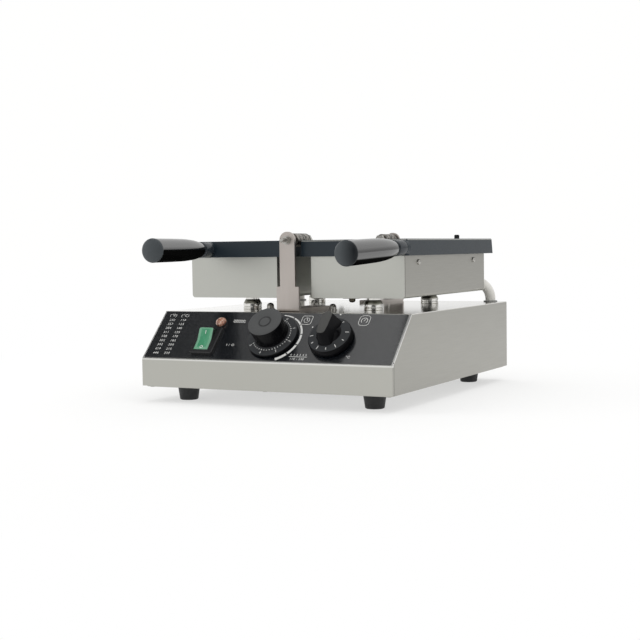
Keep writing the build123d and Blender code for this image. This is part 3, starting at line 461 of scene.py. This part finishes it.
def rounded_frame(target, width, height, corner, where):
    """Adds a rounded rectangular outline."""
    right, top = width / 2 - corner, height / 2 - corner
    for quarter, (x, y) in enumerate(((right, top), (-right, top), (-right, -top), (right, -top))):
        middle = where @ Matrix.Translation((x * mm, y * mm, 0))
        band(target, corner, fine_line, quarter * pi / 2, (quarter + 1) * pi / 2, middle, steps=5)
    for y in (height / 2, -height / 2):
        bar(target, 2 * right, fine_line, where @ Matrix.Translation((0, y * mm, 0)))
    for x in (width / 2, -width / 2):
        bar(target, 2 * top, fine_line, where @ Matrix.Translation((x * mm, 0, 0)) @ quarter_turn)


quarter_turn = Matrix.Rotation(pi / 2, 4, "Z")
heading_height, heading_up = 4.2, 71.3
figures(print_mesh, "(°F)", heading_height, on_slope(-154.6, heading_up, ink_lift))
figures(print_mesh, "(°C)", heading_height, on_slope(-137.0, heading_up, ink_lift))
for row, celsius in enumerate(table_celsius):
    row_up = table_top - row * table_step
    fahrenheit = round(celsius * 1.8 + 32)
    figures(print_mesh, str(fahrenheit), figure_height, on_slope(fahrenheit_x, row_up, ink_lift))
    figures(print_mesh, str(celsius), figure_height, on_slope(celsius_x, row_up, ink_lift))

# The bar round the timer is six separate lengths that widen towards its lower end.
bar_radius, bar_width, thin_end = 36.0, 3.9, 0.32
bar_top, bar_end = radians(88), radians(-68)
bar_pieces, half_break = 6, radians(1.3)
share = (bar_top - bar_end) / bar_pieces
for length in range(bar_pieces):
    start = bar_top - (length + 1) * share + half_break
    end = bar_top - length * share - half_break
    band(
        print_mesh, bar_radius, bar_width, start, end, on_slope(*timer_at, ink_lift),
        lambda angle: thin_end + (1 - thin_end) * (bar_top - angle) / (bar_top - bar_end),
    )
thermostat_dot, timer_dot = on_slope(79.6, 76.2, ink_lift), on_slope(49.5, 55.4, ink_lift)
dot(print_mesh, 1.0, thermostat_dot)
dot(print_mesh, 0.9, timer_dot)

# Framed symbols: a clock beside the timer and a gauge with its needle beside the thermostat.
clock = on_slope(37.9, 66.4, ink_lift)
long_hand = Matrix.Translation((0, 1.4 * mm, 0)) @ quarter_turn
short_hand = Matrix.Translation((1.0 * mm, 0, 0))
rounded_frame(print_mesh, 13.8, 13.4, 2.0, clock)
band(print_mesh, 3.7, fine_line, 0, 2 * pi, clock, steps=24)
bar(print_mesh, 3.0, fine_line, clock @ long_hand)
bar(print_mesh, 2.2, fine_line, clock @ short_hand)
gauge = on_slope(113.9, 67.2, ink_lift)
needle = Matrix.Rotation(radians(60), 4, "Z") @ Matrix.Translation((1.0 * mm, 0, 0))
rounded_frame(print_mesh, 13.6, 15.2, 4.4, gauge)
band(print_mesh, 4.0, 0.7, radians(-50), radians(230), gauge, steps=20)
bar(print_mesh, 4.2, fine_line, gauge @ needle)

# Small marks: heat waves by the lamp, on and off by the rocker, numbers by the knobs.
first_wave_x, wave_radius = -62.0, 0.85
for half_wave in range(10):
    start = half_wave % 2 * pi
    for up in (61.6, 64.2):
        middle = on_slope(first_wave_x + half_wave * 2 * wave_radius, up, ink_lift)
        band(print_mesh, wave_radius, 0.62, start, start + pi, middle, steps=5)
small_print = [
    ("I / O", 3.6, (-52.2, 24.7)), ("0 1 2 3 4 5", 3.0, (46.5, 12.0)), ("110 - 230", 3.0, (46.0, 5.8)),
    ("°C", 3.6, (110.5, 11.0)),
]
for text, height, (x, up) in small_print:
    figures(print_mesh, text, height, on_slope(x, up, ink_lift))
bar(print_mesh, 24.0, fine_line, on_slope(46.5, 9.0, ink_lift))
panel_print = make_piece("panel_print", print_mesh)
fix(panel_print, ink, "base", "sleeve_white")

# Switch and lamp: a black moulded bezel clipped into the panel with a green
# rocker marked I and O, and an amber faceted lens in a thin black ring.
rocker_pivot = (-88.0, 28.5, 0.5)
rocker_rest_tilt = radians(13)
rocker_width, rocker_length = 20.5, 32.2
rocker_high, rocker_valley = 8.6, 6.0
rocker_end_below, rocker_middle_below = -1.0, -6.0

bezel = Finish("black_bezel", (0.010, 0.010, 0.011), 0.3)
bezel.set("Roughness", bezel.fit(bezel.cloud(400), 0.3, 0.7, 0.25, 0.4))
dress(bezel, "switch_body", "lamp_body")

rocker_frame = on_slope(*rocker_pivot) @ Matrix.Rotation(rocker_rest_tilt, 4, "X")
rocker_mesh = bmesh.new()
bmesh.ops.create_cube(rocker_mesh, size=mm)
bmesh.ops.scale(rocker_mesh, vec=(rocker_width, rocker_length, 1), verts=rocker_mesh.verts)
for corner in rocker_mesh.verts:
    corner.co.z = (rocker_high if corner.co.z > 0 else rocker_end_below) * mm
bmesh.ops.bisect_plane(
    rocker_mesh, geom=[*rocker_mesh.verts, *rocker_mesh.edges, *rocker_mesh.faces], dist=1e-7,
    plane_co=(0, 0, 0), plane_no=(0, 1, 0),
)
for corner in rocker_mesh.verts:
    if abs(corner.co.y) < 1e-6:
        corner.co.z = (rocker_valley if corner.co.z > 0 else rocker_middle_below) * mm
upright_edges = [
    edge for edge in rocker_mesh.edges
    if abs(edge.verts[0].co.y) > 0.014 and abs(edge.verts[0].co.z - edge.verts[1].co.z) > 0.002
    and abs(edge.verts[0].co.y - edge.verts[1].co.y) < 1e-6
]
bmesh.ops.bevel(
    rocker_mesh, geom=upright_edges, offset=0.0028, offset_type="OFFSET", segments=5, profile=0.5,
    affect="EDGES", clamp_overlap=True, material=-1,
)
rim_edges = [
    edge for edge in rocker_mesh.edges
    if all(v.co.z > 0.005 for v in edge.verts) and edge.calc_face_angle(0) > 0.8
]
bmesh.ops.bevel(
    rocker_mesh, geom=rim_edges, offset=0.0009, offset_type="OFFSET", segments=3, profile=0.5,
    affect="EDGES", clamp_overlap=True, material=-1,
)
bmesh.ops.recalc_face_normals(rocker_mesh, faces=rocker_mesh.faces)
rocker_mesh.transform(rocker_frame)
rocker_cap = make_piece("rocker_cap", rocker_mesh, 0.4)

green = Finish("green_rocker", (0.05, 0.25, 0.12), 0.22, 0.0, Coat_Weight=0.3, Coat_Roughness=0.1)
diagonal = 0.7071
aside = abs(green.axis("X") - rocker_pivot[0] * mm)
up_slope = green.axis("Y") * diagonal + green.axis("Z") * diagonal - (front_face_y + slope_foot_z) * diagonal
from_middle = abs(up_slope - rocker_pivot[1] * mm)
rim = green.fit(aside, 0.0058, 0.0072).most(green.fit(from_middle, 0.0112, 0.0126))
window = green.between(green.cloud(110, (1, 0.4, 0.4)), (0.025, 0.19, 0.085), (0.085, 0.36, 0.20))
flank = (aside > 0.0097).most(from_middle > 0.0156)
face_tone = green.between(rim, window, (0.15, 0.36, 0.23))
green.set("Base Color", green.between(flank, face_tone, (0.006, 0.012, 0.009)))
green.set("Roughness", green.fit(green.cloud(300), 0.3, 0.7, 0.18, 0.3))
fix(rocker_cap, green, "rocker", "rocker_green", "rocker")

marks_mesh = bmesh.new()
face_tilt = Matrix.Rotation(0.1602, 4, "X")
stroke_spot = Matrix.Translation((0.0002, 0.0100, 0.00766)) @ face_tilt @ quarter_turn
ring_spot = Matrix.Translation((0, -0.0104, 0.00773)) @ face_tilt.inverted()
bar(marks_mesh, 4.6, 0.8, rocker_frame @ stroke_spot)
band(marks_mesh, 1.75, 0.75, 0, 2 * pi, rocker_frame @ ring_spot, steps=24)
rocker_marks = make_piece("rocker_marks", marks_mesh)
fix(rocker_marks, ink, "rocker", "sleeve_white")

lens_outline = [
    (0, 1.85), (6.9, 1.85), (6.9, 3.2), (6.6, 4.2), (5.8, 5.3), (4.6, 6.25), (3.1, 6.9), (1.5, 7.15),
    (0, 7.2),
]
lens = turned_piece("lamp_dome", [(lens_outline, on_slope(-78.8, 59.5))])
amber = Finish("amber_lens", (0.40, 0.15, 0.08), 0.12, 0.0, Coat_Weight=1.0, Coat_Roughness=0.05)
lens_spot = amber.step("ShaderNodeTexCoord", {}, {}, "Object")
facets_and_glints = amber.step("ShaderNodeTexVoronoi", {}, {"Vector": lens_spot, "Scale": 420.0}, "Distance")
speckle = amber.fit(amber.cloud(330), 0.35, 0.65)
copper = amber.between(speckle, (0.12, 0.028, 0.012), (0.46, 0.19, 0.105))
# The facet pattern also lightens the colour in patches: painted glints on the lens.
amber.set("Base Color", amber.between(amber.fit(facets_and_glints, 0.5, 0.75), copper, (0.62, 0.42, 0.32)))
amber.relief(facets_and_glints, 0.5, 0.0006)
fix(lens, amber, "base", "lamp_amber", "lamp_lens")

# Timer: a black moulded knob, a tall drum on a graduated skirt, its grey top
# dished round a bare centre. It is pushed on the clockwork's spindle.
timer_outline = [
    (3.1, 2.6), (31.4, 2.6), (32.0, 3.2), (32.0, 4.6), (31.7, 5.2), (31.0, 5.6), (22.0, 7.2), (20.9, 8.2),
    (20.6, 10.0), (21.4, 27.6), (21.4, 29.8), (21.1, 30.4), (20.4, 30.8), (17.2, 31.0), (13.4, 31.0),
    (11.6, 30.8), (8.5, 30.2), (6.6, 29.9), (6.2, 30.5), (0, 30.6), (0, 20.05), (3.1, 20.05),
]
timer_frame = on_slope(*timer_at)


def knob_finish(name, grey_from, skirt_from, skirt_to, top_tone):
    """Glossy black moulding, matt grey on its top and on the skirt's face, by height over the panel."""
    black = Finish(name, (0.006, 0.006, 0.007), 0.2, 0.0, Specular_IOR_Level=0.08)
    lift = black.axis("Z") * diagonal - black.axis("Y") * diagonal - (slope_foot_z - front_face_y) * diagonal
    top = black.fit(lift, grey_from - 0.0003, grey_from + 0.0003)
    skirt = black.fit(lift, skirt_from - 0.0002, skirt_from) * black.fit(lift, skirt_to + 0.0002, skirt_to)
    grain = black.cloud(800)
    gloss_tone = black.between(grain, (0.002, 0.002, 0.0025), (0.004, 0.004, 0.005))
    skirt_tone = black.between(grain, (0.033, 0.035, 0.037), (0.045, 0.047, 0.050))
    cap_tone = black.between(grain, tuple(0.75 * c for c in top_tone), top_tone)
    black.set("Base Color", black.between(top, black.between(skirt, gloss_tone, skirt_tone), cap_tone))
    black.set("Roughness", top.most(skirt) * 0.28 + grain * 0.08 + 0.17)
    return black


timer_black = knob_finish("timer_black", 0.0300, 0.0054, 0.0074, (0.092, 0.094, 0.095))
timer_knob = turned_piece("timer_dial", [(timer_outline, timer_frame)], 96)
fix(timer_knob, timer_black, "timer", "knob_black", "timer_knob")

timer_marks = bmesh.new()
skirt_fall = Matrix.Rotation(-0.176, 4, "X")
first_mark, minute_turn = radians(66), radians(42)
marks_per_minute, mark_width = 5, 0.9
mark_spot = Matrix.Translation((0, 0.0243, 0.00683)) @ skirt_fall
figure_spot = Matrix.Translation((0, 0.0281, 0.00615)) @ skirt_fall
for mark in range(26):
    angle = first_mark - mark * minute_turn / marks_per_minute
    round_dial = timer_frame @ Matrix.Rotation(angle - pi / 2, 4, "Z")
    whole_minute = mark % marks_per_minute == 0
    bar(timer_marks, 1.9 if whole_minute else 1.2, mark_width, round_dial @ mark_spot @ quarter_turn)
    if whole_minute:
        upside_down = Matrix.Rotation(pi, 4, "Z")
        figures(timer_marks, str(mark // marks_per_minute), 3.3, round_dial @ figure_spot @ upside_down)
timer_print = make_piece("timer_print", timer_marks)
fix(timer_print, ink, "timer", "sleeve_white")

# Thermostat: a black moulded knob with a tall pointer across its skirt, the
# pointer's top matt grey and eight white strokes round the skirt.
skirt_outline = [
    (3.1, 2.6), (27.1, 2.6), (27.5, 3.2), (26.9, 9.6), (26.4, 10.4), (25.5, 11.0), (16.0, 12.6), (12.6, 14.6),
    (10.0, 17.0), (0, 17.0), (0, 16.05), (3.1, 16.05),
]
pointer = [(-9.3, -15.6), (-7.6, -17.9), (-4.6, -19.1), (0, -19.5), (4.6, -19.1), (7.6, -17.9), (9.3, -15.6)]
pointer += [(11, -4), (11.5, 19), (0, 25), (-11.5, 19), (-11, -4)]
pointer_foot, pointer_top, pointer_draft = 11.0, 31.5, 0.2309
pointer_half_width, pointer_half_length = 11.0, 22.0

thermostat_frame = on_slope(*thermostat_at)
thermostat_black = knob_finish("thermostat_black", 0.0311, 0.0107, 0.0128, (0.085, 0.085, 0.082))
grip_mesh = bmesh.new()
lathe(grip_mesh, skirt_outline, steps=96)
bmesh.ops.remove_doubles(grip_mesh, verts=grip_mesh.verts, dist=1e-6)
foot_corners = [grip_mesh.verts.new((x * mm, y * mm, pointer_foot * mm)) for x, y in pointer]
foot = grip_mesh.faces.new(foot_corners)
raised = bmesh.ops.extrude_face_region(grip_mesh, geom=[foot])
top_face = next(item for item in raised["geom"] if isinstance(item, bmesh.types.BMFace))
bmesh.ops.translate(grip_mesh, vec=(0, 0, (pointer_top - pointer_foot) * mm), verts=top_face.verts)
inward = (pointer_top - pointer_foot) * pointer_draft
for corner in top_face.verts:
    corner.co.x *= 1 - inward / pointer_half_width
    corner.co.y *= 1 - inward / pointer_half_length
grip_edges = list(top_face.edges)
grip_edges += [edge for corner in top_face.verts for edge in corner.link_edges if edge not in grip_edges]
bmesh.ops.bevel(
    grip_mesh, geom=grip_edges, offset=0.0009, offset_type="OFFSET", segments=3, profile=0.5,
    affect="EDGES", clamp_overlap=True, material=-1,
)
bmesh.ops.recalc_face_normals(grip_mesh, faces=grip_mesh.faces)
grip_mesh.transform(thermostat_frame)
thermostat_knob = make_piece("thermostat_dial", grip_mesh, 0.5)
fix(thermostat_knob, thermostat_black, "thermostat", "knob_black", "thermostat_knob")

thermostat_marks = bmesh.new()
stroke_spot = Matrix.Translation((0, 0.0222, 0.01161)) @ Matrix.Rotation(-0.167, 4, "X") @ quarter_turn
for stroke, angle in enumerate((58, 10, -22, -52, -82, -112, -142, -172)):
    round_dial = thermostat_frame @ Matrix.Rotation(radians(angle) - pi / 2, 4, "Z")
    bar(thermostat_marks, 3.0 + stroke % 2 * 1.6, 0.8, round_dial @ stroke_spot)
thermostat_print = make_piece("thermostat_print", thermostat_marks)
fix(thermostat_print, ink, "thermostat", "sleeve_white")

# Hinge: two bent steel uprights bolted to the deck carry a shoulder bolt each;
# the halves' bare cast lugs interleave on it, with a dark slanting gap between.
bar_steel = Finish("bar_steel", (0.42, 0.385, 0.36), 0.38, 1.0)
bar_steel.set("Base Color", bar_steel.between(bar_steel.cloud(30), (0.45, 0.41, 0.38), (0.505, 0.465, 0.435)))
bar_steel.set("Roughness", bar_steel.fit(bar_steel.cloud(600, (1, 1, 0.05)), 0.3, 0.7, 0.33, 0.44))
dress(bar_steel, "front_upright", "rear_upright")

lug = Finish("bare_casting", (0.30, 0.285, 0.26), 0.4, 1.0)
hinge_z, gap_slope = 0.198, 0.3
slant = lug.axis("Y") + (lug.axis("Z") - hinge_z) * gap_slope
front_gaps = (abs(slant + 0.0797) < 0.0011).most(abs(slant + 0.0632) < 0.0012)
rear_gaps = (abs(slant - 0.1714) < 0.0011).most(abs(slant - 0.1549) < 0.0012)
cast_tone = lug.between(lug.fit(lug.cloud(260), 0.38, 0.6), (0.07, 0.066, 0.06), (0.34, 0.32, 0.29))
lug.set("Base Color", lug.between(front_gaps.most(rear_gaps), cast_tone, (0.006, 0.006, 0.006)))
lug.relief(lug.cloud(700), 0.2, 0.0003)
dress(lug, "left_hinge_lugs", "right_hinge_lugs")

# Moulds: aluminium castings under a dark blue-black non-stick coat, with a
# painted highlight along the upper edge; the left half locks on a dark pin in the right half.
coat = Finish("dark_casting", (0.012, 0.018, 0.025), 0.36, 0.0, Specular_IOR_Level=0.35)
sprayed = coat.cloud(500)
across, depth, height = (coat.axis(letter) for letter in "XYZ")
outer_edge = (depth < -0.0951).most(across > 0.1532).most(depth > 0.2054) * (across > 0.012)
# The light band along the outer upper edge is a painted highlight.
rim_highlight = coat.fit(height + sprayed * 0.0004, 0.1960, 0.1965) * outer_edge
dark = coat.between(coat.cloud(50), (0.009, 0.016, 0.023), (0.014, 0.024, 0.032))
coat.set("Base Color", coat.between(rim_highlight * 0.8, dark, (0.34, 0.34, 0.32)))
coat.set("Roughness", coat.fit(sprayed, 0.3, 0.7, 0.3, 0.42))
coat.relief(sprayed, 0.06, 0.0002)
dress(coat, "left_mould", "right_mould")

pin_black = Finish("blackened_pin", (0.02, 0.021, 0.023), 0.4, 0.6)
pin_black.set("Roughness", pin_black.fit(pin_black.cloud(700), 0.3, 0.7, 0.32, 0.5))
dress(pin_black, "guide_pin")

# Pans: thin stainless trays screwed to the castings' skirts, with the heater,
# its clamp, a mineral-fibre blanket and a bronze earth strap on each.
pan_steel = Finish("pan_stainless", (0.45, 0.452, 0.42), 0.36, 1.0)
pan_grain = pan_steel.cloud(900, (1, 0.03, 1), 2.0)
pan_off_centre = abs(pan_steel.axis("X"))
pan_seam = (abs(pan_steel.axis("Y") + 0.0915) < 0.0004) * (pan_off_centre > 0.148)
pan_tone = pan_steel.between(pan_steel.cloud(6), (0.475, 0.478, 0.445), (0.51, 0.513, 0.475))
# The pans' sides are darker: painted shade.
pan_side_shade = pan_steel.between((pan_off_centre > 0.1486) * 0.95, pan_tone, (0.36, 0.352, 0.322))
pan_steel.set("Base Color", pan_steel.between(pan_seam, pan_side_shade, (0.06, 0.058, 0.054)))
pan_steel.set("Roughness", pan_steel.fit(pan_grain, 0.3, 0.7, 0.33, 0.42))
pan_steel.relief(pan_grain, 0.02, 0.0003)
dress(pan_steel, "left_pan", "right_pan", "left_heater_clamp", "right_heater_clamp")

element = Finish("heater_sheath", (0.16, 0.15, 0.14), 0.45, 0.9)
element.set("Base Color", element.between(element.cloud(200), (0.10, 0.09, 0.085), (0.22, 0.2, 0.19)))
dress(element, "left_heater", "right_heater")

fibre = Finish("mineral_fibre", (0.75, 0.72, 0.64), 0.95)
fibre.set("Base Color", fibre.between(fibre.cloud(300), (0.68, 0.65, 0.57), (0.8, 0.77, 0.7)))
fibre.relief(fibre.cloud(900), 0.6, 0.0008)
dress(fibre, "left_insulation", "right_insulation")

bronze = Finish("dark_bronze", (0.10, 0.085, 0.065), 0.4, 0.9)
bronze.set("Base Color", bronze.between(bronze.cloud(260), (0.06, 0.052, 0.042), (0.16, 0.14, 0.11)))
dress(bronze, "left_earth_strap", "right_earth_strap")

bulb = Finish("copper_bulb", (0.55, 0.28, 0.18), 0.3, 1.0)
bulb.set("Roughness", bulb.fit(bulb.cloud(300), 0.3, 0.7, 0.22, 0.4))
dress(bulb, "thermostat_bulb")

# Lead sleeves: milky silicone tubes over the heater leads, from a grey bush in
# each pan's rear wall down through a grommet in the deck.
sleeving = Finish("milky_sleeving", (0.78, 0.76, 0.72), 0.35)
sleeving.set("Base Color", sleeving.between(sleeving.cloud(60), (0.70, 0.685, 0.64), (0.82, 0.805, 0.765)))
sleeving.set("Roughness", sleeving.fit(sleeving.cloud(400), 0.3, 0.7, 0.3, 0.45))
dress(sleeving, "left_lead_sleeve", "right_lead_sleeve")

bush = Finish("grey_bush", (0.24, 0.24, 0.235), 0.55)
bush.set("Base Color", bush.between(bush.cloud(200), (0.20, 0.20, 0.195), (0.28, 0.28, 0.27)))
dress(bush, "deck_grommets", "left_pan_gland", "right_pan_gland")

# Handles: a dark collar, a long glossy black phenolic grip that swells to its
# end, and a matt domed cap with painted shade on its right side, all drawn up
# on a stud screwed into the casting.
handle_ends = {
    "left": ((-0.120, -0.09687, 0.1876), (-0.1163, -0.22937, 0.1876)),
    "right": ((0.148, -0.09687, 0.1870), (0.138, -0.22937, 0.1818)),
}
bore_radius = 4.06
grip_start, grip_root_radius = 26.0, 8.9
swell = [
    (0.0, 0.5), (0.05, 1.6), (0.1, 2.6), (0.16, 3.4), (0.22, 4.0), (0.31, 4.6), (0.42, 5.0), (0.65, 5.3),
    (1.0, 5.5),
]
cap_radius, cap_edge, cap_dome, cap_inside = 14.6, 1.4, 5.6, 0.8
collar_start, collar_radius, collar_neck_radius = 3.05, 9.2, 7.4
shine_from = {"left": 0.0, "right": -0.0075}
shine_ior = {"left": 2.35, "right": 2.05}
# How much painted shade each cap gets towards its right side.
cap_shade_share = {"left": 0.2, "right": 0.95}

for half, (root, tip) in handle_ends.items():
    run = Vector(tip) - Vector(root)
    reach = run.length / mm
    grip_end = reach - cap_edge
    handle_frame = Matrix.Translation(root) @ run.to_track_quat("Z", "Y").to_matrix().to_4x4()

    swell_start, swell_length = grip_start + 0.7, grip_end - grip_start - 1.2
    grip_outline = [(bore_radius, grip_start), (grip_root_radius - 1.0, grip_start)]
    grip_outline += [(grip_root_radius - 0.4, grip_start + 0.25)]
    grip_outline += [(grip_root_radius + rise, swell_start + along * swell_length) for along, rise in swell]
    grip_outline += [(cap_radius - 0.6, grip_end), (bore_radius, grip_end)]
    phenolic = Finish(
        f"{half}_black_phenolic", (0.003, 0.003, 0.003), 0.14, 0.0,
        Specular_IOR_Level=0.0, Coat_IOR=shine_ior[half], Coat_Roughness=0.12,
    )
    fall = (tip[2] - root[2]) / (tip[1] - root[1])
    above = phenolic.axis("Z") - (phenolic.axis("Y") - root[1]) * fall - root[2]
    shine = phenolic.fit(above, shine_from[half] - 0.0004, shine_from[half] + 0.0012, 0.01, 1.0)
    phenolic.set("Coat Weight", shine)
    phenolic.set("Roughness", phenolic.fit(phenolic.cloud(300), 0.3, 0.7, 0.2, 0.3))
    grip = turned_piece(f"{half}_grip_turned", [(grip_outline, handle_frame)])
    fix(grip, phenolic, f"{half}_half", "grip_black", f"{half}_handle_grip")

    cap_outline = [(bore_radius, grip_end + 0.05), (cap_radius - 0.6, grip_end + 0.05)]
    cap_outline += [(cap_radius - 0.15, grip_end + 0.3), (cap_radius, grip_end + 0.9)]
    for step in range(0, 90, 9):
        cap_outline.append((cap_radius * cos(radians(step)), reach + cap_dome * sin(radians(step))))
    cap_outline += [(0, reach + cap_dome), (0, reach - cap_inside), (bore_radius, reach - cap_inside)]
    cap = Finish(f"{half}_grey_cap", (0.02, 0.024, 0.029), 0.5, 0.0, Specular_IOR_Level=0.15)
    # The cap darkens towards its right side: painted shade.
    painted_cap_shade = cap.fit(cap.axis("X"), tip[0] - 0.006, tip[0] + 0.011) * cap_shade_share[half]
    cap_grain = cap.between(cap.cloud(250), (0.062, 0.070, 0.076), (0.074, 0.083, 0.089))
    cap.set("Base Color", cap.between(painted_cap_shade, cap_grain, (0.006, 0.008, 0.010)))
    cap.set("Roughness", cap.fit(cap.cloud(700), 0.3, 0.7, 0.33, 0.45))
    domed = turned_piece(f"{half}_cap_domed", [(cap_outline, handle_frame)])
    fix(domed, cap, f"{half}_half", "cap_grey", f"{half}_handle_end_cap")

    collar_outline = [
        (bore_radius, collar_start), (collar_radius - 0.3, collar_start), (collar_radius, collar_start + 0.3),
        (collar_radius, grip_start - 6.4), (collar_radius - 0.3, grip_start - 5.8),
        (collar_neck_radius, grip_start - 5.2), (collar_neck_radius, grip_start - 0.05),
        (bore_radius, grip_start - 0.05),
    ]
    dark_metal = Finish(f"{half}_dark_collar", (0.02, 0.026, 0.032), 0.25)
    collar_tone = dark_metal.between(dark_metal.cloud(300), (0.014, 0.019, 0.025), (0.028, 0.035, 0.042))
    dark_metal.set("Base Color", collar_tone)
    dark_metal.set("Roughness", dark_metal.fit(dark_metal.cloud(500), 0.3, 0.7, 0.2, 0.32))
    collar = turned_piece(f"{half}_collar_turned", [(collar_outline, handle_frame)])
    fix(collar, dark_metal, f"{half}_half", "fastener_steel", f"{half}_handle_collar")
